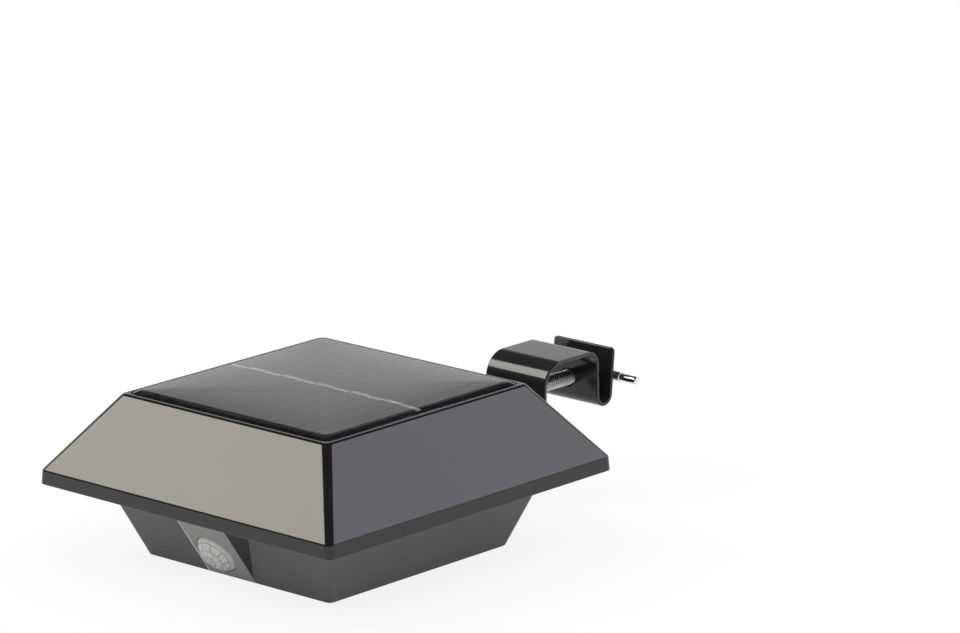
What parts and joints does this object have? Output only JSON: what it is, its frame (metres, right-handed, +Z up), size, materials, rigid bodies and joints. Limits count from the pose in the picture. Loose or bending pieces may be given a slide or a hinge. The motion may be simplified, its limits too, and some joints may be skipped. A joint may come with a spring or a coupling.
{
  "type": "fence light",
  "caption": "Square flared solar fence light with a panel in its top, a slanted motion sensor housing on its base, and a bent strip bracket that ends in a screw clamp.",
  "frame": {"origin": "middle of the base's underside, in the plane that the light stands on", "axes": "+Z up, +Y from the lamp back to the clamp, so that the motion sensor looks out of the -Y side; +X along the clamp's cross-bar"},
  "size_m": [0.1466, 0.2199, 0.0621],
  "materials": {
    "gloss_black_plastic": "smooth moulded gloss",
    "satin_grey_plastic": "fine satin moulding",
    "black_sealant": "matt bead",
    "dark_board": "satin",
    "solar_cell": "dark blue-grey with fine pale lines",
    "tinned_ribbon": "bright tinned strip",
    "clear_resin": "clear, glossy",
    "opal_plastic": "milky, lets light through",
    "white_plastic": "glossy white",
    "white_board": "white solder mask",
    "led_body": "yellow phosphor in a white case",
    "natural_plastic": "natural moulding",
    "battery_wrap": "shrink sleeve over a metal can",
    "nickel_contact": "nickel plated",
    "green_board": "green solder mask",
    "black_component": "satin",
    "socket_plastic": "natural",
    "lens_plastic": "milky white, faceted",
    "sensor_can": "plated can with a dark window",
    "red_button": "smooth",
    "lead_cover": "flexible sleeve",
    "gloss_black_steel": "gloss black powder coat",
    "brass_insert": "knurled",
    "zinc_steel": "bright zinc",
    "bright_steel": "bright plated"
  },
  "bodies": {
    "lamp": {"hood": "gloss_black_plastic", "panel_seal": "black_sealant", "panel_backboard": "dark_board", "solar_cells": "solar_cell", "cell_ribbons": "tinned_ribbon", "panel_resin": "clear_resin", "base": "satin_grey_plastic", "base_gasket": "black_sealant", "case_screws": "zinc_steel", "diffuser": "opal_plastic", "reflector": "white_plastic", "led_board": "white_board", "leds": "led_body", "led_board_screws": "zinc_steel", "inner_tray": "natural_plastic", "tray_screws": "zinc_steel", "battery_cell": "battery_wrap", "battery_contacts": "nickel_contact", "control_board": "green_board", "board_parts": "black_component", "lead_sockets": "socket_plastic", "control_board_screws": "zinc_steel", "sensor_lens": "lens_plastic", "sensor_element": "sensor_can", "sensor_board": "green_board", "switch_body": "black_component", "switch_board": "green_board", "switch_board_screws": "zinc_steel", "panel_leads": "lead_cover", "battery_leads": "lead_cover", "led_leads": "lead_cover", "sensor_leads": "lead_cover", "switch_leads": "lead_cover", "bracket": "gloss_black_steel", "bracket_inserts": "brass_insert", "bracket_screws": "zinc_steel", "bracket_washers": "zinc_steel", "clamp_nut": "zinc_steel"},
    "foot": {"clamp_foot": "bright_steel"},
    "screw": {"clamp_screw": "bright_steel", "clamp_bar": "bright_steel"},
    "button": {"power_button": "red_button", "switch_plunger": "black_component"}
  },
  "joints": [
    {"name": "clamp_feed", "type": "slide", "parent": "lamp", "child": "foot", "axis": [0, 1, 0], "range_m": [0, 0.0175]},
    {"name": "clamp_turn", "type": "hinge", "parent": "foot", "child": "screw", "pos_m": [0, 0.13, 0.0372], "axis": [0, 1, 0], "range_deg": [0, 6301]},
    {"name": "power_button_press", "type": "slide", "parent": "lamp", "child": "button", "axis": [0, 0, 1], "range_m": [0, 0.0008], "stiffness_N_per_m": 1500, "springref_m": -0.0005}
  ],
  "couplings": [
    {"joint": "clamp_turn", "follows": "clamp_feed", "rad_per_m": 6283.2}
  ]
}
